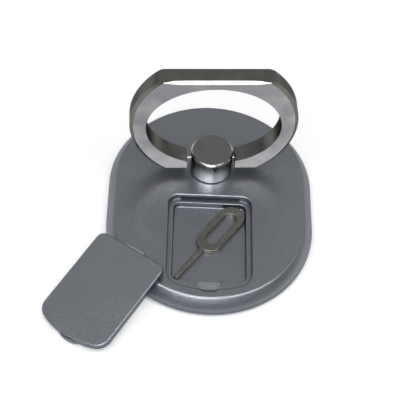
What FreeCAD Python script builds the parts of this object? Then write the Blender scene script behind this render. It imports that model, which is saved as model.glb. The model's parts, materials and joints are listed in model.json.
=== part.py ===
import FreeCAD, Part
import math
import os
import re
import Sketcher

# Finger-ring phone stand with a lidded compartment, in millimetres.
# The origin is on the swivel axis at the adhesive face, +Z points away from
# the phone, and the compartment lies towards -Y.

doc = FreeCAD.newDocument("ring_stand")
sheet = doc.addObject("Spreadsheet::Sheet", "Sizes")

DRIVING_SIZES = [
    # Moulded plate, a racetrack with a bevelled rim
    ("plate_width", 35.0),
    ("plate_length", 43.6),
    ("plate_thickness", 2.9),
    ("post_to_rear_edge", 15.3),
    ("rim_bevel_width", 1.35),
    ("rim_bevel_height", 1.7),
    ("rim_crease_radius", 0.5),
    ("rim_shoulder_radius", 1.2),
    # Adhesive pad under the plate
    ("pad_thickness", 0.6),
    ("pad_inset", 1.0),
    # Compartment: a seat for the lid, a ledge and a deeper well
    ("post_to_pocket", 6.2),
    ("pocket_width", 14.0),
    ("pocket_front_land", 3.2),
    ("pocket_front_bulge", 1.5),
    ("pocket_rear_radius", 1.7),
    ("pocket_front_radius", 2.8),
    ("pocket_lip_radius", 0.2),
    ("lid_seat_depth", 1.15),
    ("ledge_width", 0.85),
    ("well_depth", 1.1),
    ("well_corner_radius", 1.1),
    ("notch_width", 4.1),
    ("notch_length", 2.2),
    ("notch_corner_radius", 1.2),
    ("notch_rear_depth", 0.55),
    ("notch_front_depth", 0.95),
    # Lid, with a rear tongue and a front snap boss
    ("lid_clearance", 0.35),
    ("lid_edge_radius", 0.25),
    ("tongue_width", 3.6),
    ("tongue_length", 0.55),
    ("tongue_thickness", 0.5),
    ("tongue_clearance", 0.12),
    ("slot_end_margin", 0.2),
    ("boss_width", 3.2),
    ("boss_length", 1.1),
    ("boss_bulge", 0.45),
    ("boss_height", 0.5),
    ("boss_setback", 0.15),
    # Where the lid lies, taken off and leaning on the rim
    ("lid_lean_bearing", 57.6),
    ("lid_lean_overlap", 2.86),
    ("lid_lean_turn", 34.3),
    ("lid_lean_roll", 4.5),
    ("lid_lean_gap", 0.03),
    # Eject tool, stamped from sheet
    ("tool_thickness", 0.8),
    ("tool_head_width", 4.5),
    ("tool_head_length", 10.7),
    ("tool_slot_width", 2.2),
    ("tool_slot_length", 7.4),
    ("tool_shaft_width", 0.95),
    ("tool_tip_width", 0.75),
    ("tool_clearance", 0.15),
    ("tool_floor_gap", 0.02),
    # Swivel post, its riveted shank and what holds it from below
    ("post_diameter", 7.24),
    ("post_height", 4.75),
    ("post_edge_chamfer", 0.3),
    ("post_seat_gap", 0.05),
    ("post_undercut_depth", 0.6),
    ("post_undercut_height", 0.35),
    ("shank_diameter", 4.0),
    ("shank_clearance", 0.05),
    ("counterbore_diameter", 9.6),
    ("counterbore_depth", 1.4),
    ("stack_gap", 0.03),
    ("spring_diameter", 8.6),
    ("spring_bore", 4.6),
    ("spring_thickness", 0.25),
    ("spring_cone", 0.2),
    ("washer_diameter", 8.0),
    ("washer_thickness", 0.4),
    ("tail_diameter", 5.4),
    ("tail_height", 0.3),
    # Hinge pin, pressed through the post
    ("hinge_height", 2.8),
    ("pin_diameter", 1.0),
    ("pin_running_clearance", 0.04),
    ("pin_engagement", 1.6),
    ("pin_end_clearance", 0.3),
    # Finger ring, a bevelled disc cut by two flats, with an oval opening
    ("ring_diameter", 27.9),
    ("ring_depth", 3.2),
    ("ring_bevel_width", 0.64),
    ("ring_bevel_depth", 0.44),
    ("ring_centre_height", 10.08),
    ("ring_top_height", 20.44),
    ("ring_foot_drop", 0.88),
    ("ring_opening_width", 22.4),
    ("ring_opening_rise", 0.2),
    ("ring_top_wall", 1.6),
    ("ring_end_gap", 0.46),
    ("ring_side_play", 0.2),
    ("ring_flat_break", 0.2),
    ("ring_rest_swivel", 3.4),
]

for row, (alias, value) in enumerate(DRIVING_SIZES, start=1):
    sheet.set(f"A{row}", alias.replace("_", " "))
    sheet.set(f"B{row}", str(value))
    sheet.setAlias(f"B{row}", alias)
doc.recompute()


def size(expression):
    """The value of an expression in the sheet's names, such as 'plate_width / 2'."""
    return float(sheet.evalExpression(expression))


def bind(feature, prop, expression):
    """Tie a property of a feature to an expression in the sheet's names."""
    feature.setExpression(prop, in_sheet(expression))


def in_sheet(expression):
    """The same expression as another object of the document has to write it."""
    aliases = dict(DRIVING_SIZES)

    def qualify(word):
        return "Sizes." + word.group() if word.group() in aliases else word.group()

    return re.sub(r"[a-z]\w*", qualify, expression)


def new_body(label):
    body = doc.addObject("PartDesign::Body", label)
    body.Label = label
    return body


def new_sketch(body, name, plane, offset=None):
    """A sketch on one of the body's own planes, raised along its normal by an offset."""
    sketch = body.newObject("Sketcher::SketchObject", name)
    support = next(f for f in body.Origin.OriginFeatures if f.Role == plane)
    sketch.AttachmentSupport = [(support, "")]
    sketch.MapMode = "FlatFace"
    if offset is not None:
        bind(sketch, "AttachmentOffset.Base.z", offset)
    return sketch


def dimension(sketch, name, expression, kind, *where):
    """One driving dimension of a sketch, read from the sheet."""
    index = sketch.addConstraint(Sketcher.Constraint(kind, *where, size(expression)))
    sketch.renameConstraint(index, name)
    bind(sketch, "Constraints." + name, expression)


def place_point(sketch, name, geometry, vertex, x, y):
    """Fix a sketch point at two expressions; None leaves that direction free."""
    for axis, kind, zero_line, expression in (("x", "DistanceX", -2, x), ("y", "DistanceY", -1, y)):
        if expression == "0":
            sketch.addConstraint(Sketcher.Constraint("PointOnObject", geometry, vertex, zero_line))
        elif expression is not None:
            dimension(sketch, f"{name}_{axis}", expression, kind, -1, 1, geometry, vertex)


def draw_loop(sketch, name, corners, arcs=None):
    """A closed counter-clockwise loop through corners, each a pair of expressions.

    A side listed in arcs bulges outwards round a centre given the same way.
    """
    arcs = arcs or {}
    first = sketch.GeometryCount
    points = [FreeCAD.Vector(size(x), size(y), 0) for x, y in corners]
    count = len(corners)
    for side in range(count):
        start = points[side]
        end = points[(side + 1) % count]
        if side in arcs:
            x, y = arcs[side]
            middle = (start + end) / 2
            centre = FreeCAD.Vector(middle.x if x is None else size(x), middle.y if y is None else size(y), 0)
            outward = FreeCAD.Vector((end - start).y, -(end - start).x, 0).normalize()
            sketch.addGeometry(Part.Arc(start, centre + outward * (start - centre).Length, end), False)
        else:
            sketch.addGeometry(Part.LineSegment(start, end), False)
    for side in range(count):
        following = first + (side + 1) % count
        sketch.addConstraint(Sketcher.Constraint("Coincident", first + side, 2, following, 1))
    for side, (x, y) in enumerate(corners):
        place_point(sketch, f"{name}_{side}", first + side, 1, x, y)
    for side, (x, y) in arcs.items():
        place_point(sketch, f"{name}_centre_{side}", first + side, 3, x, y)


def draw_circle(sketch, name, diameter, x, y):
    geometry = sketch.addGeometry(Part.Circle(FreeCAD.Vector(size(x), size(y), 0), FreeCAD.Vector(0, 0, 1),
                                              size(diameter) / 2), False)
    place_point(sketch, name, geometry, 3, x, y)
    dimension(sketch, name + "_diameter", diameter, "Diameter", geometry)


def rectangle(half_width, rear, front):
    """Corners of a rectangle symmetrical about the Y axis, counter-clockwise from the right rear."""
    left = f"-({half_width})"
    return [(half_width, rear), (left, rear), (left, front), (half_width, front)]


REAR_ARC, FRONT_ARC = 0, 2


def extrude(body, kind, name, sketch, length, reverse=False, both_ways=False):
    """A Pad or Pocket of a sketch, checked to have changed the body's volume."""
    before = body.Shape.Volume if body.Tip else 0.0
    feature = body.newObject("PartDesign::" + kind, name)
    feature.Profile = sketch
    feature.Reversed = reverse
    if both_ways:
        feature.SideType = "Symmetric"
    bind(feature, "Length", length)
    sketch.Visibility = False
    doc.recompute()
    smallest_change = 1e-6
    if abs(body.Shape.Volume - before) < smallest_change:
        raise RuntimeError(name + " changed nothing")
    return feature


def revolve(body, kind, name, sketch):
    """A Revolution or Groove of a sketch about the body's own upright axis."""
    feature = body.newObject("PartDesign::" + kind, name)
    feature.Profile = sketch
    feature.ReferenceAxis = (sketch, ["V_Axis"])
    feature.Angle = 360
    sketch.Visibility = False
    doc.recompute()
    return feature


def edges_where(feature, test):
    """Names of the edges of a feature that pass a test."""
    return [f"Edge{i}" for i, edge in enumerate(feature.Shape.Edges, start=1) if test(edge)]


def dress(body, kind, name, base, edges, **sizes):
    """A Fillet or Chamfer of named edges of a feature; a chamfer with two sizes is a slope."""
    if not edges:
        raise RuntimeError(name + " found no edge")
    feature = body.newObject("PartDesign::" + kind, name)
    feature.Base = (base, edges)
    if "Size2" in sizes:
        feature.ChamferType = "Two distances"
    for prop, expression in sizes.items():
        bind(feature, prop, expression)
    doc.recompute()
    return feature


# Edges are told apart by where they lie: exactly in a place, or near enough to it
EXACT = 1e-4
NEAR = 0.01


def lies_at(edge, z):
    """Whether an edge lies in the level plane at z."""
    box = edge.BoundBox
    return abs(box.ZMin - z) < EXACT and abs(box.ZMax - z) < EXACT


def stands_at(edge, y, x_limit):
    """Whether an edge is upright, at y and further from the middle than a limit."""
    box = edge.BoundBox
    upright = box.ZLength > NEAR and max(box.XLength, box.YLength) < EXACT
    return upright and abs(box.YMin - y) < EXACT and abs(box.XMin) > x_limit


# Levels above the table and places along the plate, from the driving sizes
REAR_CENTRE = "(post_to_rear_edge - plate_width / 2)"
FRONT_CENTRE = "(post_to_rear_edge - plate_length + plate_width / 2)"
POCKET_REAR = "(-post_to_pocket)"
POCKET_TIP = "(post_to_rear_edge - plate_length + pocket_front_land)"
POCKET_FRONT = f"({POCKET_TIP} + pocket_front_bulge)"
WELL_REAR = f"({POCKET_REAR} - ledge_width)"
WELL_FRONT = f"({POCKET_FRONT} + ledge_width)"
WELL_HALF_WIDTH = "(pocket_width / 2 - ledge_width)"
PLATE_TOP = "(pad_thickness + plate_thickness)"
WELL_FLOOR = "(pad_thickness + plate_thickness - lid_seat_depth - well_depth)"
HINGE_LEVEL = "(pad_thickness + plate_thickness + hinge_height)"
RING_END = "(post_diameter / 2 + ring_end_gap)"


def racetrack(inset):
    """The plate's outline drawn in by an inset: corners and arc centres of a loop."""
    corners = rectangle(f"plate_width / 2 - {inset}", REAR_CENTRE, FRONT_CENTRE)
    return corners, {REAR_ARC: (None, REAR_CENTRE), FRONT_ARC: (None, FRONT_CENTRE)}


def lid_outline(clearance):
    """The lid seat's outline drawn in by a clearance, with its bulging front edge."""
    corners = rectangle(f"pocket_width / 2 - {clearance}", f"{POCKET_REAR} - {clearance}",
                        f"{POCKET_FRONT} + {clearance}")
    half_width = f"(pocket_width / 2 - {clearance})"
    radius = f"(({half_width} ^ 2 + pocket_front_bulge ^ 2) / (2 * pocket_front_bulge))"
    return corners, {FRONT_ARC: (None, f"{POCKET_FRONT} + {clearance} - pocket_front_bulge + {radius}")}


def make_base_plate():
    """The moulded plate: bevelled rim, stepped compartment, swivel bore and its counterbore below."""
    body = new_body("base_plate")
    outline = new_sketch(body, "plate_outline", "XY_Plane")
    draw_loop(outline, "plate", *racetrack("0"))
    slab = extrude(body, "Pad", "plate_slab", outline, "plate_thickness")

    top = size("plate_thickness")
    bevel = dress(body, "Chamfer", "rim_bevel", slab, edges_where(slab, lambda edge: lies_at(edge, top)),
                  Size="rim_bevel_height", Size2="rim_bevel_width")
    crease = dress(body, "Fillet", "rim_crease", bevel,
                   edges_where(bevel, lambda edge: lies_at(edge, top)), Radius="rim_crease_radius")
    shoulder_level = size("plate_thickness - rim_bevel_height")
    dress(body, "Fillet", "rim_shoulder", crease,
          edges_where(crease, lambda edge: lies_at(edge, shoulder_level)), Radius="rim_shoulder_radius")

    seat_sketch = new_sketch(body, "lid_seat_outline", "XY_Plane", "plate_thickness")
    draw_loop(seat_sketch, "seat", *lid_outline("0"))
    seat = extrude(body, "Pocket", "lid_seat", seat_sketch, "lid_seat_depth")
    side = size("pocket_width / 2") - NEAR
    rear_corners = dress(body, "Fillet", "seat_rear_corners", seat,
                         edges_where(seat, lambda edge: stands_at(edge, size(POCKET_REAR), side)),
                         Radius="pocket_rear_radius")
    dress(body, "Fillet", "seat_front_corners", rear_corners,
          edges_where(rear_corners, lambda edge: stands_at(edge, size(POCKET_FRONT), side)),
          Radius="pocket_front_radius")

    well_sketch = new_sketch(body, "well_outline", "XY_Plane", "plate_thickness")
    draw_loop(well_sketch, "well", rectangle(WELL_HALF_WIDTH, WELL_REAR, WELL_FRONT))
    well = extrude(body, "Pocket", "well", well_sketch, "lid_seat_depth + well_depth")
    side = size(WELL_HALF_WIDTH) - NEAR
    well_corners = dress(body, "Fillet", "well_corners", well,
                         edges_where(well, lambda edge: stands_at(edge, size(WELL_REAR), side)
                                     or stands_at(edge, size(WELL_FRONT), side)),
                         Radius="well_corner_radius")

    dress(body, "Fillet", "pocket_lips", well_corners,
          edges_where(well_corners, lambda edge: lies_at(edge, top) and on_pocket(edge)),
          Radius="pocket_lip_radius")

    notch_sketch = new_sketch(body, "notch_profile", "YZ_Plane")
    notch_front = f"({WELL_FRONT} - notch_length)"
    notch_rear = f"({WELL_FRONT} + ledge_width)"
    seat_level = "(plate_thickness - lid_seat_depth)"
    draw_loop(notch_sketch, "notch", [(notch_front, f"{seat_level} - notch_front_depth"),
                                      (notch_rear, f"{seat_level} - notch_rear_depth"),
                                      (notch_rear, "plate_thickness"),
                                      (notch_front, "plate_thickness")])
    notch = extrude(body, "Pocket", "front_notch", notch_sketch, "notch_width", both_ways=True)
    side = size("notch_width / 2") - NEAR
    dress(body, "Fillet", "notch_corners", notch,
          edges_where(notch, lambda edge: stands_at(edge, size(notch_front), side)),
          Radius="notch_corner_radius")

    slot_sketch = new_sketch(body, "tongue_slot_outline", "XY_Plane", seat_level)
    slot_half_width = "pocket_width / 2 - pocket_rear_radius - slot_end_margin"
    draw_loop(slot_sketch, "slot", rectangle(slot_half_width, f"{POCKET_REAR} + tongue_length", POCKET_REAR))
    extrude(body, "Pocket", "tongue_slot", slot_sketch, "tongue_thickness + tongue_clearance", reverse=True)

    bore_sketch = new_sketch(body, "swivel_bore_profile", "XZ_Plane")
    bore_radius = "shank_diameter / 2 + shank_clearance"
    draw_loop(bore_sketch, "bore", [("0", "0"), ("counterbore_diameter / 2", "0"),
                                    ("counterbore_diameter / 2", "counterbore_depth"),
                                    (bore_radius, "counterbore_depth"),
                                    (bore_radius, "plate_thickness"), ("0", "plate_thickness")])
    revolve(body, "Groove", "swivel_bore", bore_sketch)
    bind(body, "Placement.Base.z", "pad_thickness")
    return body


def on_pocket(edge):
    """Whether an edge belongs to the compartment and not to the rim."""
    box = edge.BoundBox
    across = max(abs(box.XMin), abs(box.XMax)) < size("pocket_width / 2") + NEAR
    along = box.YMin > size(POCKET_TIP) - NEAR and box.YMax < size(POCKET_REAR) + NEAR
    return across and along


def make_adhesive_pad():
    """The foam tape under the plate, a little smaller than its underside."""
    body = new_body("adhesive_pad")
    outline = new_sketch(body, "pad_outline", "XY_Plane")
    draw_loop(outline, "pad", *racetrack("pad_inset"))
    extrude(body, "Pad", "pad_sheet", outline, "pad_thickness")
    return body


def make_compartment_lid():
    """The lid in its closed place, its underside at the level of the lid seat."""
    body = new_body("compartment_lid")
    outline = new_sketch(body, "lid_outline", "XY_Plane")
    draw_loop(outline, "lid", *lid_outline("lid_clearance"))
    slab = extrude(body, "Pad", "lid_slab", outline, "lid_seat_depth")
    side = size("pocket_width / 2 - lid_clearance") - NEAR
    rear = size(f"{POCKET_REAR} - lid_clearance")
    front = size(f"{POCKET_FRONT} + lid_clearance")
    rear_corners = dress(body, "Fillet", "lid_rear_corners", slab,
                         edges_where(slab, lambda edge: stands_at(edge, rear, side)),
                         Radius="pocket_rear_radius - lid_clearance")
    front_corners = dress(body, "Fillet", "lid_front_corners", rear_corners,
                          edges_where(rear_corners, lambda edge: stands_at(edge, front, side)),
                          Radius="pocket_front_radius - lid_clearance")
    top = size("lid_seat_depth")
    dress(body, "Fillet", "lid_top_edge", front_corners,
          edges_where(front_corners, lambda edge: lies_at(edge, top)), Radius="lid_edge_radius")

    tongue_sketch = new_sketch(body, "tongue_outline", "XY_Plane")
    lid_rear = f"({POCKET_REAR} - lid_clearance)"
    draw_loop(tongue_sketch, "tongue", rectangle("tongue_width / 2", f"{lid_rear} + tongue_length",
                                                 f"{lid_rear} - tongue_length"))
    extrude(body, "Pad", "rear_tongue", tongue_sketch, "tongue_thickness")

    boss_sketch = new_sketch(body, "boss_outline", "XY_Plane")
    boss_tip = f"({POCKET_FRONT} + lid_clearance - pocket_front_bulge + boss_setback)"
    boss_radius = "((boss_width ^ 2 / 4 + boss_bulge ^ 2) / (2 * boss_bulge))"
    draw_loop(boss_sketch, "boss", rectangle("boss_width / 2", f"{boss_tip} + boss_bulge + boss_length",
                                             f"{boss_tip} + boss_bulge"),
              {FRONT_ARC: (None, f"{boss_tip} + {boss_radius}")})
    extrude(body, "Pad", "snap_boss", boss_sketch, "boss_height", reverse=True)
    return body


def lean_lid(lid, plate):
    """Lay the lid down where it was taken off: its front on the table, its rear on the plate's rim."""
    bearing = math.radians(size("lid_lean_bearing"))
    reach = size("plate_width / 2 - lid_lean_overlap")
    rear_middle = FreeCAD.Vector(0, size(f"{POCKET_REAR} - lid_clearance"), 0)
    over_rim = FreeCAD.Vector(-reach * math.sin(bearing), size(FRONT_CENTRE) - reach * math.cos(bearing), 0)
    turn = FreeCAD.Rotation(FreeCAD.Vector(0, 0, 1), -size("lid_lean_turn"))
    roll = FreeCAD.Rotation(FreeCAD.Vector(0, 1, 0), -size("lid_lean_roll"))

    def leaning(slope):
        tilt = FreeCAD.Rotation(FreeCAD.Vector(1, 0, 0), slope)
        place = FreeCAD.Placement(over_rim, turn * tilt * roll)
        place = place * FreeCAD.Placement(rear_middle * -1, FreeCAD.Rotation())
        shape = lid.Shape.copy()
        shape.Placement = place
        place.Base.z -= shape.optimalBoundingBox(False).ZMin
        shape.Placement = place
        return place, shape

    flat = 0.0
    steep = 40.0
    closest_step = 0.005
    while steep - flat > closest_step:
        slope = (flat + steep) / 2
        if leaning(slope)[1].distToShape(plate.Shape)[0] > size("lid_lean_gap"):
            steep = slope
        else:
            flat = slope
    lid.Placement = leaning(steep)[0]


def make_eject_tool():
    """The stamped tool, lying corner to corner in the well with its looped head at the right rear."""
    body = new_body("eject_tool")
    inside = "(tool_head_width / 2 + tool_clearance)"
    head_x = f"({WELL_HALF_WIDTH} - {inside})"
    head_y = f"({WELL_REAR} - {inside})"
    tip_inside = "(tool_shaft_width / 2 + tool_clearance)"
    run_x = f"({head_x} + {WELL_HALF_WIDTH} - {tip_inside})"
    run_y = f"({head_y} - {WELL_FRONT} - {tip_inside})"
    reach = f"sqrt({run_x} ^ 2 + {run_y} ^ 2)"
    far_centre = "0"
    near_centre = "(tool_head_width - tool_head_length)"
    outline = new_sketch(body, "head_outline", "XY_Plane")
    draw_loop(outline, "head", rectangle("tool_head_width / 2", far_centre, near_centre),
              {REAR_ARC: (None, far_centre), FRONT_ARC: (None, near_centre)})
    slot_rear = "((tool_slot_length - tool_slot_width - tool_head_length + tool_head_width) / 2)"
    slot_front = "((tool_slot_width - tool_slot_length - tool_head_length + tool_head_width) / 2)"
    draw_loop(outline, "slot", rectangle("tool_slot_width / 2", slot_rear, slot_front),
              {REAR_ARC: (None, slot_rear), FRONT_ARC: (None, slot_front)})
    extrude(body, "Pad", "head", outline, "tool_thickness")
    shaft_rear = "(tool_head_width / 2 - tool_head_length + (tool_head_width - tool_slot_width) / 4)"
    shaft = new_sketch(body, "shaft_outline", "XY_Plane")
    draw_loop(shaft, "shaft", [("tool_shaft_width / 2", shaft_rear), ("-tool_shaft_width / 2", shaft_rear),
                               ("-tool_tip_width / 2", f"-{reach}"), ("tool_tip_width / 2", f"-{reach}")])
    extrude(body, "Pad", "shaft", shaft, "tool_thickness")
    lean = math.degrees(math.atan2(size(run_x), size(run_y)))
    bind(body, "Placement.Base.x", head_x)
    bind(body, "Placement.Base.y", head_y)
    bind(body, "Placement.Base.z", f"{WELL_FLOOR} + tool_floor_gap")
    body.Placement.Rotation = FreeCAD.Rotation(FreeCAD.Vector(0, 0, 1), -lean)
    return body


def turn_to_rest(body, level):
    """Stand a piece of the swivelling group on the swivel axis, turned as the ring rests."""
    body.Placement.Rotation = FreeCAD.Rotation(FreeCAD.Vector(0, 0, 1), size("ring_rest_swivel"))
    bind(body, "Placement.Base.z", level)


# Heights of the riveted stack, down from the roof of the counterbore
ROOF = "(counterbore_depth - plate_thickness)"
SPRING_TOP = f"({ROOF} - stack_gap)"
WASHER_TOP = f"({SPRING_TOP} - spring_thickness - spring_cone - stack_gap)"
TAIL_TOP = f"({WASHER_TOP} - washer_thickness)"


def make_swivel_post():
    """The turned post: a chamfered head, undercut and cross-drilled, on a shank with a riveted tail."""
    body = new_body("swivel_post")
    profile = new_sketch(body, "post_profile", "XZ_Plane")
    radius = "post_diameter / 2"
    shank = "shank_diameter / 2"
    tail = "tail_diameter / 2"
    draw_loop(profile, "post", [
        ("0", f"{TAIL_TOP} - tail_height"),
        (f"{tail} - tail_height", f"{TAIL_TOP} - tail_height"),
        (tail, TAIL_TOP),
        (shank, TAIL_TOP),
        (shank, "post_seat_gap"),
        (f"{radius} - post_undercut_depth", "post_seat_gap"),
        (f"{radius} - post_undercut_depth", "post_undercut_height"),
        (radius, "post_undercut_height"),
        (radius, "post_height - post_edge_chamfer"),
        (f"{radius} - post_edge_chamfer", "post_height"),
        ("0", "post_height"),
    ])
    revolve(body, "Revolution", "post_turning", profile)
    drill = new_sketch(body, "pin_hole", "YZ_Plane")
    draw_circle(drill, "pin_hole", "pin_diameter", "0", "hinge_height")
    extrude(body, "Pocket", "cross_hole", drill, "post_diameter * 2", both_ways=True)
    turn_to_rest(body, PLATE_TOP)
    return body


def make_spring_washer():
    """The conical spring washer that gives the swivel its drag, its rim against the plate."""
    body = new_body("spring_washer")
    profile = new_sketch(body, "spring_profile", "XZ_Plane")
    outer = "spring_diameter / 2"
    inner = "spring_bore / 2"
    draw_loop(profile, "spring", [
        (inner, f"{SPRING_TOP} - spring_cone - spring_thickness"),
        (outer, f"{SPRING_TOP} - spring_thickness"),
        (outer, SPRING_TOP),
        (inner, f"{SPRING_TOP} - spring_cone"),
    ])
    revolve(body, "Revolution", "spring_turning", profile)
    bind(body, "Placement.Base.z", PLATE_TOP)
    return body


def make_retaining_washer():
    """The flat washer under the spring, held up by the riveted tail."""
    body = new_body("retaining_washer")
    outline = new_sketch(body, "washer_outline", "XY_Plane", TAIL_TOP)
    draw_circle(outline, "rim", "washer_diameter", "0", "0")
    draw_circle(outline, "bore", "shank_diameter + 2 * shank_clearance", "0", "0")
    extrude(body, "Pad", "washer", outline, "washer_thickness")
    turn_to_rest(body, PLATE_TOP)
    return body


def make_hinge_pin():
    """The straight pin pressed through the post, its ends running in the ring's feet."""
    pin = doc.addObject("Part::Cylinder", "hinge_pin")
    pin.Label = "hinge_pin"
    half_length = f"({RING_END} + pin_engagement)"
    bind(pin, "Radius", "pin_diameter / 2")
    bind(pin, "Height", f"2 * {half_length}")
    swivel = FreeCAD.Rotation(FreeCAD.Vector(0, 0, 1), size("ring_rest_swivel"))
    along_pin = swivel.multVec(FreeCAD.Vector(1, 0, 0))
    start = along_pin * -size(half_length)
    level = FreeCAD.Vector(0, 0, size(HINGE_LEVEL))
    pin.Placement = FreeCAD.Placement(start + level, FreeCAD.Rotation(FreeCAD.Vector(0, 0, 1), along_pin))
    return pin


def make_finger_ring():
    """The cast ring, upright: a bevelled disc with a flat top and feet, oval opening and blind pin holes."""
    body = new_body("finger_ring")
    outline = new_sketch(body, "ring_outline", "XZ_Plane")
    draw_circle(outline, "ring", "ring_diameter", "0", "ring_centre_height")
    blank = extrude(body, "Pad", "ring_blank", outline, "ring_depth", both_ways=True)

    half_depth = size("ring_depth / 2")

    def on_a_face(edge):
        box = edge.BoundBox
        return box.YLength < EXACT and abs(abs(box.YMin) - half_depth) < EXACT

    dress(body, "Chamfer", "ring_bevels", blank, edges_where(blank, on_a_face),
          Size="ring_bevel_depth", Size2="ring_bevel_width")

    flats = new_sketch(body, "ring_flats", "XZ_Plane")
    beyond = "ring_diameter"
    draw_loop(flats, "top", rectangle("ring_diameter / 2", beyond, "ring_top_height"))
    draw_loop(flats, "feet", rectangle("ring_diameter / 2", "-ring_foot_drop", f"-{beyond}"))
    cut = extrude(body, "Pocket", "ring_flats_cut", flats, "ring_depth * 2", both_ways=True)
    levels = (size("ring_top_height"), size("-ring_foot_drop"))
    dress(body, "Chamfer", "ring_flat_edges", cut,
          edges_where(cut, lambda edge: on_a_face(edge) and any(lies_at(edge, level) for level in levels)),
          Size="ring_flat_break")

    opening = new_sketch(body, "ring_opening", "XZ_Plane")
    opening_height = "(ring_top_height - ring_top_wall - ring_opening_rise)"
    centre_height = f"(ring_opening_rise + {opening_height} / 2)"
    centre = FreeCAD.Vector(0, size(centre_height), 0)
    wide = FreeCAD.Vector(size("ring_opening_width / 2"), centre.y, 0)
    tall = FreeCAD.Vector(0, centre.y + size(opening_height) / 2, 0)
    oval = opening.addGeometry(Part.Ellipse(wide, tall, centre), False)
    opening.exposeInternalGeometry(oval)
    wide_axis, tall_axis = oval + 1, oval + 2
    place_point(opening, "opening_centre", oval, 3, "0", centre_height)
    opening.addConstraint(Sketcher.Constraint("Horizontal", wide_axis))
    dimension(opening, "opening_width", "ring_opening_width", "Distance", wide_axis)
    dimension(opening, "opening_height", opening_height, "Distance", tall_axis)
    extrude(body, "Pocket", "finger_opening", opening, "ring_depth * 2", both_ways=True)

    gap = new_sketch(body, "post_gap", "XZ_Plane")
    draw_loop(gap, "gap", rectangle(RING_END, centre_height, "-ring_foot_drop * 2"))
    extrude(body, "Pocket", "foot_gap", gap, "ring_depth * 2", both_ways=True)

    holes = new_sketch(body, "pin_holes", "YZ_Plane")
    draw_circle(holes, "pin_hole", "pin_diameter + 2 * pin_running_clearance", "0", "0")
    extrude(body, "Pocket", "pin_holes_cut", holes,
            f"2 * ({RING_END} + pin_engagement + pin_end_clearance)", both_ways=True)
    turn_to_rest(body, HINGE_LEVEL)
    bind(body, "Placement.Base.x", "-ring_side_play * cos(ring_rest_swivel * 1deg)")
    bind(body, "Placement.Base.y", "-ring_side_play * sin(ring_rest_swivel * 1deg)")
    return body


base_plate = make_base_plate()
compartment_lid = make_compartment_lid()
pieces = [
    base_plate,
    make_adhesive_pad(),
    compartment_lid,
    make_eject_tool(),
    make_swivel_post(),
    make_spring_washer(),
    make_retaining_washer(),
    make_hinge_pin(),
    make_finger_ring(),
]
doc.recompute()
lean_lid(compartment_lid, base_plate)
doc.recompute()

for item in doc.Objects:
    if "Invalid" in item.State or "Error" in item.State:
        raise RuntimeError(item.Label + " failed: " + ", ".join(item.State))
for piece in pieces:
    if piece.Shape.isNull() or not piece.Shape.isValid() or not piece.Shape.Solids:
        raise RuntimeError(piece.Label + " has no valid solid")

os.makedirs("parts", exist_ok=True)
for piece in pieces:
    piece.Shape.exportStep(f"parts/{piece.Label}.step")
    print(piece.Label, "volume", round(piece.Shape.Volume, 2), "mm3")
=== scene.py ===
import json
import math

import bmesh
import bpy
from mathutils import Matrix, Vector


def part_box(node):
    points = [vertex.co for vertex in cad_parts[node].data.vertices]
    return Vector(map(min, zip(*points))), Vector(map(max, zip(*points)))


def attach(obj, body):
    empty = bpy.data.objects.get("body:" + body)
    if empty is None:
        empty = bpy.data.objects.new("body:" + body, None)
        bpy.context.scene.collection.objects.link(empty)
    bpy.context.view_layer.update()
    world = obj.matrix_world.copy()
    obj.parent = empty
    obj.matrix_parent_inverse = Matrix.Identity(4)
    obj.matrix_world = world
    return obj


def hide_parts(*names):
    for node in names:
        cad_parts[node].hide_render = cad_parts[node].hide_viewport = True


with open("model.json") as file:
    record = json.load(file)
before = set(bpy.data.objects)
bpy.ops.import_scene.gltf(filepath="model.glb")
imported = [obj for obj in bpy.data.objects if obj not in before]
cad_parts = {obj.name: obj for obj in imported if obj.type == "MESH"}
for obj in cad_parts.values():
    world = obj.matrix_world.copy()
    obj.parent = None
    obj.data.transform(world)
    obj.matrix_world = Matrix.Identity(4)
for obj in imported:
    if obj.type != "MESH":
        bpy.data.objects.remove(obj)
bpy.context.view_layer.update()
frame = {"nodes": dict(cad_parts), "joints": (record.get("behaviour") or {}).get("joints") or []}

# Adhesive pad
# A die-cut sheet of dark grey foam tape, a little smaller than the plate.
# It is stuck to the plate's underside, so only its cut edge shows.
MM = 0.001


def new_finish(name, **sockets):
    """A material and its shader, with the shader's sockets set by their names in small letters."""
    material = bpy.data.materials.new(name)
    material.use_nodes = True
    shader = material.node_tree.nodes["Principled BSDF"]
    for socket, value in sockets.items():
        shader.inputs[socket.replace("_", " ").title()].default_value = value
    return material, shader


def add_node(material, kind, inputs, **settings):
    """A node with its settings and inputs; an input that is another node's output is linked."""
    node = material.node_tree.nodes.new("ShaderNode" + kind)
    for setting, value in settings.items():
        setattr(node, setting, value)
    for socket, value in inputs.items():
        if isinstance(value, bpy.types.NodeSocket):
            material.node_tree.links.new(value, node.inputs[socket])
        else:
            node.inputs[socket].default_value = value
    return node


def grain(material, size, detail=2.0, stretch=(1, 1, 1)):
    """Noise fixed to the piece, with grains of a size in millimetres, longer where stretch is over 1."""
    place = add_node(material, "TexCoord", {})
    shrink = [1 / (size * MM * pull) for pull in stretch]
    scaled = add_node(material, "Mapping", {"Vector": place.outputs["Object"], "Scale": shrink})
    noise = add_node(material, "TexNoise", {"Vector": scaled.outputs["Vector"], "Scale": 1.0,
                                            "Detail": detail})
    return noise.outputs["Fac"]


def between(material, factor, low, high, colours):
    """A colour ramp, from one colour at a low value to another at a high one."""
    ramp = add_node(material, "ValToRGB", {"Fac": factor})
    for stop, place, colour in zip(ramp.color_ramp.elements, (low, high), colours):
        stop.position = place
        stop.color = (*colour, 1)
    return ramp.outputs["Color"]


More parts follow.
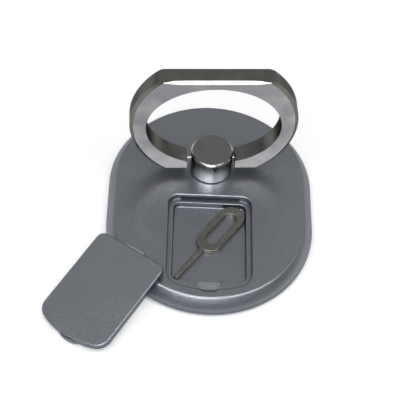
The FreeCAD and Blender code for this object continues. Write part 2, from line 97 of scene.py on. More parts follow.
def relief(material, height, depth, under=None):
    """The surface roughened by a noise as deep as depth, in millimetres, on top of another relief."""
    inputs = {"Height": height, "Strength": 1.0, "Distance": depth * MM}
    if under is not None:
        inputs["Normal"] = under
    return add_node(material, "Bump", inputs).outputs["Normal"]


def wire(material, shader, **sockets):
    """Link outputs to the shader's sockets."""
    for socket, output in sockets.items():
        material.node_tree.links.new(output, shader.inputs[socket.replace("_", " ").title()])


def foam_tape():
    """Closed-cell foam: matt, with fine cells along its cut edge."""
    material, shader = new_finish("foam_tape", roughness=0.9)
    cells = grain(material, size=0.25, detail=3.0)
    dark_foam = (0.018, 0.018, 0.018)
    pale_foam = (0.045, 0.045, 0.045)
    colour = between(material, cells, low=0.35, high=0.65, colours=(dark_foam, pale_foam))
    wire(material, shader, base_color=colour, normal=relief(material, cells, depth=0.05))
    return material


adhesive_pad = frame["nodes"]["adhesive_pad"]
adhesive_pad.material_slots[0].material = foam_tape()

# Base plate
# A moulded plastic oval with a bowed bevel round its rim, sprayed with silver-grey metallic paint.
# Its compartment has a seat for the lid, a ledge, a deeper well, a fingernail notch and a thumb relief.


def arc(x, y, radius, start, end, steps):
    """Points of an arc about a centre, angles in degrees."""
    angles = [math.radians(start + (end - start) * step / steps) for step in range(steps + 1)]
    return [(x + radius * math.cos(angle), y + radius * math.sin(angle)) for angle in angles]


def outline(*stretches):
    """One closed outline from stretches of points in counter-clockwise order, without doubled points."""
    same_place = 1e-5
    points = []
    for point in sum(stretches, []):
        if not points or math.dist(point, points[-1]) > same_place:
            points.append(point)
    if math.dist(points[0], points[-1]) < same_place:
        points.pop()
    return points


def circle(radius, steps, centre_y=0):
    """A round outline."""
    return outline(arc(0, centre_y, radius, 0, 360, steps))


def racetrack(half_width, rear, front, steps=72):
    """Two half rounds joined by straight sides."""
    return outline(arc(0, rear - half_width, half_width, 0, 180, steps),
                   arc(0, front + half_width, half_width, 180, 360, steps))


def rounded_box(half_width, rear, front, radius, steps=12):
    """A rectangle with rounded corners."""
    x = half_width - radius
    rear_y = rear - radius
    front_y = front + radius
    return outline(arc(x, rear_y, radius, 0, 90, steps), arc(-x, rear_y, radius, 90, 180, steps),
                   arc(-x, front_y, radius, 180, 270, steps), arc(x, front_y, radius, 270, 360, steps))


def bulged_box(half_width, rear, front, bulge, rear_radius, front_radius, steps=12):
    """A rectangle with rounded corners whose front bulges past its front corners."""
    sweep = (half_width ** 2 + bulge ** 2) / (2 * bulge)
    sweep_y = front - bulge + sweep
    corner_x = half_width - front_radius
    corner_y = sweep_y - math.sqrt((sweep - front_radius) ** 2 - corner_x ** 2)
    lean = math.degrees(math.atan2(corner_x, sweep_y - corner_y))
    x = half_width - rear_radius
    y = rear - rear_radius
    return outline(arc(x, y, rear_radius, 0, 90, steps), arc(-x, y, rear_radius, 90, 180, steps),
                   arc(-corner_x, corner_y, front_radius, 180, 270 - lean, steps),
                   arc(0, sweep_y, sweep, 270 - lean, 270 + lean, 2 * steps),
                   arc(corner_x, corner_y, front_radius, 270 + lean, 360, steps))


def spreading(points):
    """For each point of an outline, the way it moves when the outline grows by 1 mm all round."""
    ways = []
    for before, here, after in zip(points[-1:] + points[:-1], points, points[1:] + points[:1]):
        into = (Vector(here) - Vector(before)).normalized()
        out_of = (Vector(after) - Vector(here)).normalized()
        first = Vector((into.y, -into.x))
        second = Vector((out_of.y, -out_of.x))
        ways.append((first + second) / (1 + first.dot(second)))
    return ways


def skin(sections):
    """A closed mesh over sections, each a loop of as many points, in millimetres."""
    shape = bmesh.new()
    rings = [[shape.verts.new(Vector(point) * MM) for point in section] for section in sections]
    for lower, upper in zip(rings, rings[1:]):
        for near in range(len(lower)):
            far = (near + 1) % len(lower)
            shape.faces.new((lower[near], lower[far], upper[far], upper[near]))
    shape.faces.new(reversed(rings[0]))
    shape.faces.new(rings[-1])
    mesh = bpy.data.meshes.new("skin")
    shape.to_mesh(mesh)
    shape.free()
    return mesh


def loft(points, profile):
    """A closed mesh: an outline carried up through a profile of (growth, height) steps."""
    ways = spreading(points)
    return skin([[(*(Vector(point) + way * growth), height) for point, way in zip(points, ways)]
                 for growth, height in profile])


edge_steps = 5


def foot(height, radius):
    """Profile steps round the lower outside edge of a piece."""
    return arc(-radius, height + radius, radius, -90, 0, edge_steps)


def lip(height, radius):
    """Profile steps of a cutter that flares as it leaves a face, so that it rounds the face's edge."""
    last_angle = 105
    run_out = 0.5 * radius
    steps = arc(radius, height - radius, radius, 180, last_angle, edge_steps)
    end = math.radians(last_angle)
    x, y = steps[-1]
    return steps + [(x + run_out * math.sin(end), y - run_out * math.cos(end))]


def follow(profile, radius, start, end, steps):
    """An arc that carries on from the end of a profile, turning from one lean to another, in degrees."""
    x, y = profile[-1]
    lean = math.radians(start)
    return arc(x - radius * math.cos(lean), y - radius * math.sin(lean), radius, start, end, steps)[1:]


def new_piece(name, mesh):
    """An object of the scene from a mesh."""
    piece = bpy.data.objects.new(name, mesh)
    bpy.context.scene.collection.objects.link(piece)
    return piece


def carve(piece, cutter_mesh, operation="DIFFERENCE"):
    """Cut a piece with a mesh, or join the mesh to it."""
    cutter = new_piece("cutter", cutter_mesh)
    cut = piece.modifiers.new("cut", "BOOLEAN")
    cut.operation = operation
    cut.solver = "EXACT"
    cut.object = cutter
    carved = bpy.data.meshes.new_from_object(piece.evaluated_get(bpy.context.evaluated_depsgraph_get()))
    piece.modifiers.clear()
    piece.data = carved
    bpy.data.objects.remove(cutter)


def dress(piece, node, body, finishes, sharp=30):
    """Finish a piece: smooth its rounds, give it its materials, and let it stand for its CAD node."""
    piece.data.name = piece.name
    piece.data.materials.clear()
    for finish in finishes:
        piece.data.materials.append(finish)
    piece.data.shade_smooth()
    piece.data.set_sharp_from_angle(angle=math.radians(sharp))
    evened = piece.modifiers.new("evened_normals", "WEIGHTED_NORMAL")
    evened.keep_sharp = True
    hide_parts(node)
    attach(piece, body)


def spread(material, factor, lowest, highest):
    """A noise turned into a number that runs from a lowest to a highest value."""
    noise_low = 0.3
    noise_high = 0.7
    scale = add_node(material, "MapRange", {"Value": factor, "From Min": noise_low, "From Max": noise_high,
                                            "To Min": lowest, "To Max": highest})
    return scale.outputs["Result"]


def metallic_paint():
    """Semi-gloss paint with fine bright flakes, with painted shade, tinted blue, on its steep sides."""
    material, shader = new_finish("metallic_paint", metallic=0.9, specular_tint=(0.22, 0.23, 0.26, 1),
                                  coat_weight=0.5, coat_roughness=0.1)
    flakes = grain(material, size=0.15, detail=1.0)
    clouds = grain(material, size=5.0)
    dark_paint = (0.215, 0.228, 0.248)
    bright_flake = (0.272, 0.289, 0.314)
    colour = between(material, flakes, low=0.36, high=0.66, colours=(dark_paint, bright_flake))
    # Painted shade: steep sides are darkened and tinted blue by the way they face, flat tops are left as
    # they are.
    steep_side_shade_tone = (0.6, 0.61, 0.66)
    unshaded_tone = (1, 1, 1)
    place = add_node(material, "TexCoord", {})
    facing = add_node(material, "SeparateXYZ", {"Vector": place.outputs["Normal"]})
    side_shade_factor = between(material, facing.outputs["Z"], low=0.2, high=0.5, colours=(steep_side_shade_tone, unshaded_tone))
    side_shaded_colour = add_node(material, "VectorMath", {0: colour, 1: side_shade_factor}, operation="MULTIPLY")
    wire(material, shader, base_color=side_shaded_colour.outputs["Vector"],
         roughness=spread(material, clouds, lowest=0.29, highest=0.35),
         normal=relief(material, flakes, depth=0.04))
    return material


plate_low, plate_high = (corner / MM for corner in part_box("base_plate"))
plate_top = plate_high.z
rim_bevel_width = 1.15
rim_bevel_height = 1.45
rim_foot_radius = 0.15
rim_shoulder_radius = 1.2
rim_crease_radius = 0.7
rim_bow_angle = 7.5
rim_steps = 8
bevel_lean = math.degrees(math.atan2(rim_bevel_width, rim_bevel_height))
lower_lean = bevel_lean - rim_bow_angle
upper_lean = bevel_lean + rim_bow_angle
bow_radius = math.hypot(rim_bevel_width, rim_bevel_height) / (2 * math.sin(math.radians(rim_bow_angle)))
rim = arc(-rim_shoulder_radius, 0, rim_shoulder_radius, 0, lower_lean, rim_steps)
rim += follow(rim, bow_radius, lower_lean, upper_lean, rim_steps)
rim += follow(rim, rim_crease_radius, upper_lean, 90, rim_steps)
rim_rise = plate_top - rim[-1][1]
rim = foot(plate_low.z, rim_foot_radius) + [(growth, height + rim_rise) for growth, height in rim]
plate = new_piece("plate_shell", loft(racetrack(plate_high.x, plate_high.y, plate_low.y), rim))

pocket_half_width = 7.0
pocket_rear = -6.2
pocket_front = -23.6
pocket_bulge = 1.5
pocket_rear_radius = 1.7
pocket_front_radius = 2.8
pocket_depth = 1.15
lip_radius = 0.3
seat_level = plate_top - pocket_depth
seat_corner_radius = 0.12
pocket = bulged_box(pocket_half_width, pocket_rear, pocket_front, pocket_bulge,
                    pocket_rear_radius, pocket_front_radius)
carve(plate, loft(pocket, foot(seat_level, seat_corner_radius) + lip(plate_top, lip_radius)))

ledge_width = 0.85
ledge_edge_radius = 0.16
well_half_width = pocket_half_width - ledge_width
well_rear = pocket_rear - ledge_width
well_front = pocket_front + ledge_width
well_depth = 1.1
well_floor = seat_level - well_depth
well_corner_radius = 1.1
well_floor_radius = 0.25
well = rounded_box(well_half_width, well_rear, well_front, well_corner_radius)
carve(plate, loft(well, foot(well_floor, well_floor_radius) + lip(seat_level, ledge_edge_radius)))

notch_half_width = 2.05
notch_rear = well_front + ledge_width
notch_length = 2.2
notch_front = well_front - notch_length
notch_corner_radius = 1.8
notch_corner_x = notch_half_width - notch_corner_radius
notch_corner_y = notch_front + notch_corner_radius
notch_corner_steps = 10
notch_rear_depth = 0.42
notch_rear_floor = seat_level - notch_rear_depth
notch_fall = 0.53
notch_floor_radius = 0.15
notch = outline([(notch_half_width, notch_rear), (-notch_half_width, notch_rear)],
                arc(-notch_corner_x, notch_corner_y, notch_corner_radius, 180, 270, notch_corner_steps),
                arc(notch_corner_x, notch_corner_y, notch_corner_radius, 270, 360, notch_corner_steps))
notch_cutter = loft(notch, foot(notch_rear_floor, notch_floor_radius) + lip(plate_top, lip_radius))
for vertex in notch_cutter.vertices:
    if vertex.co.z < seat_level * MM:
        vertex.co.z -= notch_fall * (notch_rear * MM - vertex.co.y) / (notch_rear - notch_front)
carve(plate, notch_cutter)

thumb_half_width = 1.45
thumb_front = -25.1
thumb_radius = 1.0
thumb_depth = 0.38
thumb_flare = 0.6
thumb_edge_depth = 0.03
thumb_edge = 0.7
thumb_mouth = 0.95
thumb_overrun = 0.05
thumb_slope = [(0, plate_top - thumb_depth), (thumb_flare, plate_top - thumb_edge_depth),
               (thumb_edge, plate_top), (thumb_mouth, plate_top + thumb_overrun)]
thumb_relief = rounded_box(thumb_half_width, notch_rear, thumb_front, thumb_radius)
carve(plate, loft(thumb_relief, thumb_slope))

slot_end_margin = 0.2
slot_half_width = pocket_half_width - pocket_rear_radius - slot_end_margin
slot_depth = 0.55
slot_height = 0.62
slot_corner_radius = 0.05
slot = rounded_box(slot_half_width, pocket_rear + slot_depth, pocket_rear - slot_depth,
                   slot_corner_radius, steps=3)
carve(plate, loft(slot, [(0, seat_level), (0, seat_level + slot_height)]))

counterbore_radius = 4.8
counterbore_depth = 1.4
counterbore_roof = plate_low.z + counterbore_depth
bore_radius = 2.05
bore_shrink = bore_radius - counterbore_radius
overrun = 1.0
round_steps = 96
carve(plate, loft(circle(counterbore_radius, round_steps),
                  [(0, plate_low.z - overrun), (0, counterbore_roof),
                   (bore_shrink, counterbore_roof), (bore_shrink, plate_top + overrun)]))
paint = metallic_paint()
dress(plate, "base_plate", "plate", [paint])

# Spring washer and retaining washer
# Rolled and stamped steel rings in the counterbore under the plate.
# The conical spring presses the post down for drag and the flat washer is held by the post's riveted tail.


def rolled_steel():
    """Plain grey steel with rolling streaks along one way."""
    material, shader = new_finish("spring_steel", metallic=1.0)
    streaks = grain(material, size=0.1, stretch=(12, 1, 1))
    dark_steel = (0.36, 0.36, 0.37)
    pale_steel = (0.52, 0.52, 0.52)
    colour = between(material, streaks, low=0.3, high=0.7, colours=(dark_steel, pale_steel))
    wire(material, shader, base_color=colour, roughness=spread(material, streaks, lowest=0.3, highest=0.45),
         normal=relief(material, streaks, depth=0.004))
    return material


washer_steel = rolled_steel()
for washer in ("spring_washer", "retaining_washer"):
    frame["nodes"][washer].material_slots[0].material = washer_steel

# Swivel post
# A turned zinc post, nickel plated, with painted shade on its flat top, a painted highlight on its chamfer,
# and painted shade and highlight down its side.
# Its shank passes through the plate and is riveted over below, so the post can swivel.


def plated_zinc(name, dull, bright, roughness, wave, edge_tint):
    """Nickel plate over zinc: clouded between two tones, a little wavy, with faint polishing marks."""
    material, shader = new_finish(name, metallic=1.0, specular_tint=(edge_tint, edge_tint, edge_tint, 1))
    clouds = grain(material, size=2.2, detail=3.0)
    marks = grain(material, size=0.07, stretch=(9, 1, 1))
    colour = between(material, clouds, low=0.3, high=0.7, colours=(dull, bright))
    wire(material, shader, base_color=colour,
         roughness=spread(material, marks, lowest=roughness, highest=roughness + 0.1),
         normal=relief(material, clouds, depth=wave, under=relief(material, marks, depth=0.0012)))
    return material


def fade(material, start, end, strength=1.0):
    """A number that runs from 0 at one height on the piece, in millimetres, to a strength at another."""
    place = add_node(material, "TexCoord", {})
    height = add_node(material, "SeparateXYZ", {"Vector": place.outputs["Object"]})
    run = add_node(material, "MapRange", {"Value": height.outputs["Z"], "From Min": start * MM,
                                          "From Max": end * MM, "To Max": strength})
    return run.outputs["Result"]


def post_side_shade_and_highlight():
    """The post's side, with a painted highlight low down and painted shade under the top edge."""
    material, shader = new_finish("post_side_shade_and_highlight", metallic=1.0, specular_tint=(0.6, 0.6, 0.6, 1))
    marks = grain(material, size=0.07, stretch=(9, 9, 1))
    painted_shade_nickel = (0.1, 0.098, 0.1)
    painted_highlight_nickel = (0.68, 0.68, 0.68)
    # Painted light: the side runs from painted shade near the top edge to a painted highlight low down.
    side_light_fade = fade(material, start=7.2, end=4.6)
    colour = between(material, side_light_fade, low=0.0, high=1.0, colours=(painted_shade_nickel, painted_highlight_nickel))
    wire(material, shader, base_color=colour, roughness=spread(material, marks, lowest=0.1, highest=0.18),
         normal=relief(material, marks, depth=0.0012))
    return material


post_low, post_high = (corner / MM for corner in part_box("swivel_post"))
post_radius = post_high.x
shank_radius = 2.0
tail_radius = 2.7
tail_height = 0.3
post_seat_gap = 0.05
post_seat = plate_top + post_seat_gap
post_chamfer = 0.3
post_edge_radius = 0.08
post_edge_setback = 0.03
post_edge_steps = 3
undercut_depth = 0.6
undercut_height = 0.2
undercut_roof = plate_top + undercut_height
shank_shrink = shank_radius - post_radius
tail_shrink = tail_radius - post_radius
turned = ([(tail_shrink - tail_height, post_low.z), (tail_shrink, post_low.z + tail_height),
           (shank_shrink, post_low.z + tail_height), (shank_shrink, post_seat),
           (-undercut_depth, post_seat), (-undercut_depth, undercut_roof)]
          + foot(undercut_roof, post_edge_radius)
          + arc(-post_edge_radius, post_high.z - post_chamfer - post_edge_setback, post_edge_radius,
                0, 45, post_edge_steps)
          + arc(-post_chamfer - post_edge_setback, post_high.z - post_edge_radius, post_edge_radius,
                45, 90, post_edge_steps))
post = new_piece("swivel_post_turned", loft(circle(post_radius, round_steps), turned))

# Lit and shaded copies of the plated zinc: a painted highlight for the post's chamfer and the ring's break,
# and painted shade for the post's flat top.
painted_highlight_edge = plated_zinc("painted_highlight_edge", dull=(0.467, 0.453, 0.442), bright=(0.567, 0.55, 0.533),
                          roughness=0.12, wave=0.002, edge_tint=0.6)
painted_shade_post_top = plated_zinc("post_top_painted_shade", dull=(0.2, 0.197, 0.186), bright=(0.236, 0.23, 0.219),
                       roughness=0.14, wave=0.004, edge_tint=0.6)
post_finishes = [post_side_shade_and_highlight(), painted_highlight_edge, painted_shade_post_top]
dress(post, "swivel_post", "swivel", post_finishes)
chamfer_rise = 0.2
level_rise = 0.95
# The post's flat top gets the painted shade and its chamfer the painted highlight, by the way each face
# points.
for face in post.data.polygons:
    if face.normal.z > level_rise:
        face.material_index = post_finishes.index(painted_shade_post_top)
    elif face.normal.z > chamfer_rise:
        face.material_index = post_finishes.index(painted_highlight_edge)

# Hinge pin
# A straight drawn steel pin pressed through the post.
# Its ends run in blind holes in the ring's feet and show in the narrow gaps beside the post.


def drawn_steel():
    """Bright steel with fine draw lines along the pin."""
    material, shader = new_finish("pin_steel", metallic=1.0)
    lines = grain(material, size=0.05, stretch=(20, 1, 1))
    dark_line = (0.267, 0.262, 0.253)
    bright_line = (0.367, 0.358, 0.35)
    colour = between(material, lines, low=0.3, high=0.7, colours=(dark_line, bright_line))
    wire(material, shader, base_color=colour, roughness=spread(material, lines, lowest=0.24, highest=0.34),
         normal=relief(material, lines, depth=0.001))
    return material


frame["nodes"]["hinge_pin"].material_slots[0].material = drawn_steel()

# Finger ring
# A cast zinc ring with a flat top and flat feet, nickel plated: satin ground faces with painted light that
# grows brighter towards the feet and darker towards the top, painted shade on the rim and bore, and a break
# along the front of its top coloured with a painted highlight. It hangs on the hinge pin by its two feet,
# beside the post.
ring_low, ring_high = (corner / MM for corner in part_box("finger_ring"))
tilt_joint = next(joint for joint in frame["joints"] if joint["name"] == "ring_tilt")
hinge_level = tilt_joint["pos_m"][2] / MM
ring_rest_swivel = math.radians(3.4)
ring_side_play = 0.2
ring_radius = 13.95
ring_centre = 10.08
ring_depth = 3.2
ring_bevel_width = 0.64
ring_bevel_depth = 0.44
ring_edge_radius = 0.1
ring_steps = 192
ring_top = ring_high.z - hinge_level
ring_foot = ring_low.z - hinge_level
half_depth = ring_depth / 2
corner_break = 0.06
corner_width = 0.05
corner_drop = 0.03
bevelled_rim = [(0, half_depth - ring_bevel_depth - corner_break),
                (-corner_width, half_depth - ring_bevel_depth + corner_drop),
                (-ring_bevel_width + corner_width, half_depth - corner_drop),
                (-ring_bevel_width - corner_break, half_depth)]


def both_faces(profile):
    """A profile that ends at the ring's front face, with the same profile for its rear face before it."""
    return [(growth, -depth) for growth, depth in reversed(profile)] + profile


disc = circle(ring_radius, ring_steps, ring_centre)
ring = new_piece("finger_ring_cast", loft(disc, both_faces(bevelled_rim)))


def clamp(x, level, way, front_break):
    """Section of a cutter for one flat, in the order of its loop, that also breaks the flat's long edges."""
    rear_radius = 0.15
    rear_steps = 4
    clear = half_depth + overrun
    beyond = level + way * ring_radius
    face_drop = 0.7 * front_break
    turn_in = 0.34 * front_break
    turn_drop = 0.3 * front_break
    front = [(half_depth, -face_drop), (half_depth - turn_in, -turn_drop), (half_depth - front_break, 0)]
    rear = arc(rear_radius - half_depth, -rear_radius, rear_radius, 90, 180, rear_steps)
    edge = [(clear, -face_drop)] + front + rear + [(-clear, -rear_radius)]
    edge = [(x, level + way * rise, depth) for depth, rise in edge]
    return edge + [(x, beyond, -clear), (x, beyond, clear)]


break_steps = 24
widest_break = 0.55
narrowest_break = 0.12
break_evenness = 10
top_reach = math.sqrt((ring_radius - ring_bevel_width) ** 2 - (ring_top - ring_centre) ** 2)
crosswise = [ring_radius * (2 * step / break_steps - 1) for step in range(break_steps + 1)]
breaks = [max(narrowest_break, widest_break * (1 - (x / top_reach) ** break_evenness)) for x in crosswise]
carve(ring, skin([clamp(x, ring_top, 1, front_break) for x, front_break in zip(crosswise, breaks)]))
carve(ring, skin([clamp(-x, ring_foot, -1, narrowest_break) for x in crosswise]))

opening_half_width = 11.2
opening_low = 0.2
opening_top_wall = 1.6
opening_high = ring_top - opening_top_wall
opening_half_height = (opening_high - opening_low) / 2
opening_centre = (opening_high + opening_low) / 2
opening_steps = 144
oval = [(opening_half_width * x, opening_centre + opening_half_height * y)
        for x, y in circle(1, opening_steps)]
carve(ring, loft(oval, both_faces(lip(half_depth, ring_edge_radius))))

end_gap_clearance = 0.46
end_gap_half_width = post_radius + end_gap_clearance
end_gap_edge_radius = 0.06
end_gap_corner_radius = 0.1
below_feet = 2 * ring_foot
end_gap = rounded_box(end_gap_half_width, opening_centre, below_feet, end_gap_corner_radius, steps=2)
carve(ring, loft(end_gap, both_faces(lip(half_depth, end_gap_edge_radius))))

on_hinge = (Matrix.Translation((0, 0, hinge_level * MM)) @ Matrix.Rotation(ring_rest_swivel, 4, "Z")
            @ Matrix.Translation((-ring_side_play * MM, 0, 0)))
ring.data.transform(on_hinge @ Matrix.Rotation(math.radians(90), 4, "X"))
pin_hole_radius = 0.54
pin_hole_depth = 1.9
pin_hole_reach = end_gap_half_width + pin_hole_depth
pin_hole_steps = 48
pin_hole = loft(circle(pin_hole_radius, pin_hole_steps), [(0, -pin_hole_reach), (0, pin_hole_reach)])
pin_hole.transform(on_hinge @ Matrix.Rotation(math.radians(90), 4, "Y"))
carve(ring, pin_hole)


def ground_zinc():
    """The flat faces, ground satin and clouded, with a painted reflection that brightens them towards the
    feet and painted shade that darkens them towards the top.
    """
    material, shader = new_finish("ground_ring_face", metallic=0.35)
    clouds = grain(material, size=3.2)
    marks = grain(material, size=0.07, stretch=(1, 1, 9))
    # Painted light by height: a painted reflection brightens the faces towards the feet and painted shade
    # darkens them towards the top.
    foot_painted_reflection = fade(material, start=11.5, end=6, strength=0.55)
    upper_face_painted_shade = fade(material, start=17, end=25, strength=-0.25)
    painted_light_by_height = add_node(material, "Math", {0: foot_painted_reflection, 1: upper_face_painted_shade}, operation="ADD")
    tone = add_node(material, "Math", {0: clouds, 1: painted_light_by_height.outputs[0]}, operation="ADD")
    grey_zinc = (0.285, 0.274, 0.282)
    bright_zinc = (0.63, 0.603, 0.59)
    colour = between(material, tone.outputs[0], low=0.3, high=1.0, colours=(grey_zinc, bright_zinc))
    wire(material, shader, base_color=colour, roughness=spread(material, marks, lowest=0.34, highest=0.44),
         normal=relief(material, clouds, depth=0.008, under=relief(material, marks, depth=0.0012)))
    return material


# Shaded copies of the plated zinc: painted shade on the ring's rim and on its bore.
rim_painted_shade = plated_zinc("ring_rim_painted_shade", dull=(0.155, 0.152, 0.141), bright=(0.197, 0.192, 0.18),
                       roughness=0.2, wave=0.004, edge_tint=0.3)
bore_painted_shade = plated_zinc("ring_bore_painted_shade", dull=(0.13, 0.126, 0.117), bright=(0.18, 0.176, 0.165),
                        roughness=0.24, wave=0.004, edge_tint=0.3)
ground_face = ground_zinc()
ring_finishes = [ground_face, rim_painted_shade, bore_painted_shade, painted_highlight_edge]
dress(ring, "finger_ring", "ring", ring_finishes, sharp=15)


def finish_of(place, way):
    """The finish of a face of the upright ring, from its centre in millimetres and the way it faces: satin
    face, painted highlight on the break, painted shade on the bore and on the rim.
    """
    face_share = 0.9
    bore_margin = 1.03
    break_low = 0.3
    break_high = 0.98
    break_sway = 0.3
    if abs(way.y) >= face_share:
        return ground_face
    on_break = place.z > ring_top - widest_break and break_low < way.z < break_high
    if on_break and way.y < 0 and abs(way.x) < break_sway:
        return painted_highlight_edge
    across = place.x / opening_half_width
    up = (place.z - opening_centre) / opening_half_height
    return bore_painted_shade if math.hypot(across, up) < bore_margin else rim_painted_shade


off_hinge = on_hinge.inverted()
# Each face of the ring takes its finish, which puts painted highlight and painted shade by the way the face
# points.
for face in ring.data.polygons:
    finish = finish_of(off_hinge @ face.center / MM, off_hinge.to_3x3() @ face.normal)
    face.material_index = ring_finishes.index(finish)

# Eject tool
# A flat tool stamped from steel sheet and dull nickel plated: a looped head and a thin shaft.
# It lies loose in the well, corner to corner.


def crown(height, radius):
    """Profile steps round the upper outside edge of a piece."""
    return arc(-radius, height - radius, radius, 0, 90, edge_steps)


def stamped_steel():
    """Dull olive-grey plate over stamped steel, mottled, with tiny pits."""
    material, shader = new_finish("stamped_steel", metallic=1.0)
    mottle = grain(material, size=0.9, detail=3.0)
    pits = grain(material, size=0.09)
    dark_plate = (0.2, 0.193, 0.17)
    pale_plate = (0.283, 0.272, 0.245)
    colour = between(material, mottle, low=0.3, high=0.7, colours=(dark_plate, pale_plate))
    wire(material, shader, base_color=colour, roughness=spread(material, pits, lowest=0.26, highest=0.36),
         normal=relief(material, pits, depth=0.003))
    return material


tool_low, tool_high = (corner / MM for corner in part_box("eject_tool"))
tool_thickness = tool_high.z - tool_low.z
tool_clearance = 0.15
head_radius = 2.25
head_near_centre = -6.2
head_steps = 32
shaft_half_width = 0.475
tip_half_width = 0.4
tip_radius = 0.2
tip_steps = 5
neck_steps = 20
stamped_edge_radius = 0.12
underside_edge_radius = 0.05
head_x = well_half_width - head_radius - tool_clearance
head_y = well_rear - head_radius - tool_clearance
tip_x = -well_half_width + shaft_half_width + tool_clearance
tip_y = well_front + shaft_half_width + tool_clearance
tool_reach = math.dist((head_x, head_y), (tip_x, tip_y))
tool_lean = math.atan2(head_x - tip_x, head_y - tip_y)
tip_corner_x = tip_half_width - tip_radius
tip_corner_y = tip_radius - tool_reach
neck_angle = math.degrees(math.asin(shaft_half_width / head_radius))
stamping = outline(arc(0, 0, head_radius, 0, 180, head_steps),
                   arc(0, head_near_centre, head_radius, 180, 270 - neck_angle, neck_steps),
                   arc(-tip_corner_x, tip_corner_y, tip_radius, 180, 270, tip_steps),
                   arc(tip_corner_x, tip_corner_y, tip_radius, 270, 360, tip_steps),
                   arc(0, head_near_centre, head_radius, 270 + neck_angle, 360, neck_steps))
stamped_edges = foot(0, underside_edge_radius) + crown(tool_thickness, stamped_edge_radius)
tool = new_piece("eject_tool_stamping", loft(stamping, stamped_edges))
loop_radius = 1.1
loop_far_centre = -0.5
loop_near_centre = -5.7
loop = racetrack(loop_radius, loop_far_centre + loop_radius, loop_near_centre - loop_radius, steps=24)
carve(tool, loft(loop, [(0, -overrun)] + lip(tool_thickness, stamped_edge_radius)))
tool_place = Vector((head_x, head_y, tool_low.z))
tool.data.transform(Matrix.Translation(tool_place * MM) @ Matrix.Rotation(-tool_lean, 4, "Z"))
dress(tool, "eject_tool", "plate", [stamped_steel()])

# Compartment lid
# A moulded lid painted like the plate, with a tongue at its rear edge and a tab under its front.
# It has been taken off and leans with its rear on the plate's rim and its front on the table.
lid_clearance = 0.35
lid_thickness = plate_top - seat_level
lid_edge_radius = 0.25
lid_underside_radius = 0.08
lid_rear = pocket_rear - lid_clearance
lid_front = pocket_front + lid_clearance
lid_shape = bulged_box(pocket_half_width - lid_clearance, lid_rear, lid_front, pocket_bulge,
                       pocket_rear_radius - lid_clearance, pocket_front_radius - lid_clearance)
lid_edges = foot(0, lid_underside_radius) + crown(lid_thickness, lid_edge_radius)
lid = new_piece("compartment_lid_moulded", loft(lid_shape, lid_edges))

tongue_half_width = 1.8
tongue_length = 0.55
tongue_thickness = 0.5
tongue_corner_radius = 0.15
tongue_underside_radius = 0.05
tongue_edge_radius = 0.1
tongue_rise = 0.25
tongue = rounded_box(tongue_half_width, lid_rear + tongue_length, lid_rear - tongue_length,
                     tongue_corner_radius, steps=4)
tongue_edges = foot(0, tongue_underside_radius) + crown(tongue_thickness, tongue_edge_radius)
tongue_bar = loft(tongue, tongue_edges)
for vertex in tongue_bar.vertices:
    if vertex.co.z > tongue_thickness / 2 * MM:
        vertex.co.z += tongue_rise * (vertex.co.y - lid_rear * MM)
carve(lid, tongue_bar, "UNION")

tab_half_width = 1.9
tab_reach = 0.35
tab_tip = lid_front - pocket_bulge - tab_reach
tab_length = 1.9
tab_bulge = 0.45
tab_rear_radius = 0.3
tab_front_radius = 0.6
tab_edge_radius = 0.15
tab_underside = -0.3
tab_top = 0.2
tab_offset = 0.3
tab_front = tab_tip + tab_bulge
tab = bulged_box(tab_half_width, tab_front + tab_length, tab_front, tab_bulge,
                 tab_rear_radius, tab_front_radius, steps=6)
tab_plate = loft(tab, foot(tab_underside, tab_edge_radius) + crown(tab_top, tab_edge_radius))
tab_plate.transform(Matrix.Translation((tab_offset * MM, 0, 0)))
carve(lid, tab_plate, "UNION")

lid_turn = math.radians(-34.3)
lid_slope = math.radians(10.4)
lid_roll = math.radians(-4.5)
lid_rear_place = Vector((-12.361, -18.645, 3.796))
lid.data.transform(Matrix.Translation(lid_rear_place * MM) @ Matrix.Rotation(lid_turn, 4, "Z")
                   @ Matrix.Rotation(lid_slope, 4, "X") @ Matrix.Rotation(lid_roll, 4, "Y")
                   @ Matrix.Translation((0, -lid_rear * MM, 0)))
dress(lid, "compartment_lid", "plate", [paint])

# Floor
# A plain white table top under the object, which takes its soft shadow.
# It is lifted to white where it is seen directly or mirrored, less so close to the object, where it keeps
# more of the shadow, and stays a plain diffuse white for the light.


def white_table():
    """Matt white, with a share of plain white for what the camera or a shiny piece sees of it."""
    material = bpy.data.materials.new("white_table")
    material.use_nodes = True
    nodes = material.node_tree.nodes
    nodes.remove(nodes["Principled BSDF"])
    rays = add_node(material, "LightPath", {})
    seen = add_node(material, "Math", {0: rays.outputs["Is Camera Ray"], 1: rays.outputs["Is Glossy Ray"]},
                    operation="MAXIMUM")
    seen = add_node(material, "Math", {0: seen.outputs[0], 1: rays.outputs["Is Transmission Ray"]},
                    operation="MAXIMUM")
    shadow_reach = 3.5 * MM
    least_open = 0.45
    least_lift = 0.1
    full_lift = 0.8
    nearness = add_node(material, "AmbientOcclusion", {"Distance": shadow_reach})
    clear = add_node(material, "MapRange", {"Value": nearness.outputs["AO"], "From Min": least_open,
                                            "To Min": least_lift, "To Max": full_lift})
    lift = add_node(material, "Math", {0: seen.outputs[0], 1: clear.outputs["Result"]}, operation="MULTIPLY")
    matt = add_node(material, "BsdfDiffuse", {"Color": (0.95, 0.95, 0.95, 1)})
    white = add_node(material, "Emission", {"Color": (1, 1, 1, 1), "Strength": 1.0})
    mix = add_node(material, "MixShader", {0: lift.outputs[0], 1: matt.outputs[0], 2: white.outputs[0]})
    material.node_tree.links.new(mix.outputs[0], nodes["Material Output"].inputs["Surface"])
    return material


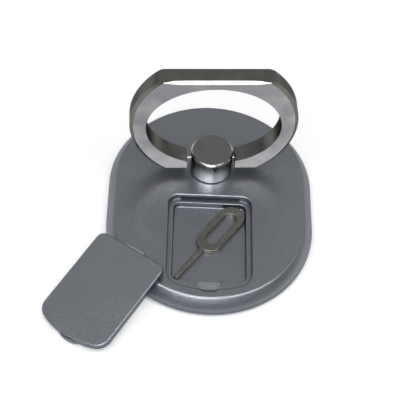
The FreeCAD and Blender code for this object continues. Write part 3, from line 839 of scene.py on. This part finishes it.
floor_reach = 12.0
floor_drop = 0.02 * MM
floor_shape = bmesh.new()
bmesh.ops.create_grid(floor_shape, x_segments=1, y_segments=1, size=floor_reach)
floor_mesh = bpy.data.meshes.new("table_top")
floor_shape.to_mesh(floor_mesh)
floor_shape.free()
table_top = new_piece("table_top", floor_mesh)
table_top.location.z = -floor_drop
table_top.data.materials.append(white_table())

# Studio light
# Soft boxes above, in front and behind give even light, and the dim ones behind show in the shiny paint.
# Two long cards in front make the bright lines along the rim and on the metal. The room is dim grey.


def soft_box(name, bearing, elevation, distance, width, height, radiance, tint=(1, 1, 1)):
    """A rectangular light that faces the object, placed by its bearing from the front and its elevation."""
    light = bpy.data.lights.new(name, "AREA")
    light.shape = "RECTANGLE"
    light.size = width
    light.size_y = height
    light.color = tint
    light.energy = radiance * math.pi * width * height
    lamp = bpy.data.objects.new(name, light)
    bpy.context.scene.collection.objects.link(lamp)
    lamp.matrix_world = (Matrix.Rotation(math.radians(bearing), 4, "Z")
                         @ Matrix.Rotation(math.radians(90 - elevation), 4, "X")
                         @ Matrix.Translation((0, 0, distance)))


soft_box("overhead_box", bearing=3, elevation=76, distance=0.5, width=0.6, height=0.2, radiance=3.15)
soft_box("rear_box", bearing=180, elevation=50, distance=0.6, width=0.8, height=0.55, radiance=0.32)
soft_box("rear_left_box", bearing=-122, elevation=26, distance=0.6, width=0.6, height=0.4, radiance=0.27)
soft_box("rear_right_box", bearing=118, elevation=28, distance=0.6, width=0.6, height=0.45, radiance=0.32)
soft_box("left_box", bearing=-42, elevation=52, distance=0.6, width=0.3, height=0.25, radiance=2.6)
soft_box("right_box", bearing=54, elevation=52, distance=0.6, width=0.3, height=0.25, radiance=2.6)
soft_box("front_card", bearing=-6, elevation=53, distance=0.6, width=0.26, height=0.06, radiance=17.5,
         tint=(0.95, 0.96, 1))
soft_box("low_card", bearing=-4, elevation=40, distance=0.6, width=0.36, height=0.1, radiance=4.6,
         tint=(0.88, 0.91, 1))

room = bpy.data.worlds.new("grey_room")
room.use_nodes = True
room.node_tree.nodes["Background"].inputs["Color"].default_value = (0.15, 0.15, 0.156, 1)
bpy.context.scene.world = room

# Camera
# A long lens from the front and well above, rolled a little.
camera_target = Vector((-1.75, -7.19, 3.5))
camera_bearing = math.radians(-2.57)
camera_elevation = math.radians(52.68)
camera_roll = math.radians(4.41)
camera_distance = 205.8 * MM
camera_lens = bpy.data.cameras.new("camera")
camera_lens.lens = 108.75
camera_lens.sensor_width = 36.0
camera_lens.clip_start = 0.01
camera = bpy.data.objects.new("camera", camera_lens)
bpy.context.scene.collection.objects.link(camera)
camera.matrix_world = (Matrix.Translation(camera_target * MM) @ Matrix.Rotation(camera_bearing, 4, "Z")
                       @ Matrix.Rotation(math.radians(90) - camera_elevation, 4, "X")
                       @ Matrix.Rotation(camera_roll, 4, "Z") @ Matrix.Translation((0, 0, camera_distance)))
bpy.context.scene.camera = camera
bpy.context.scene.view_settings.view_transform = "Standard"
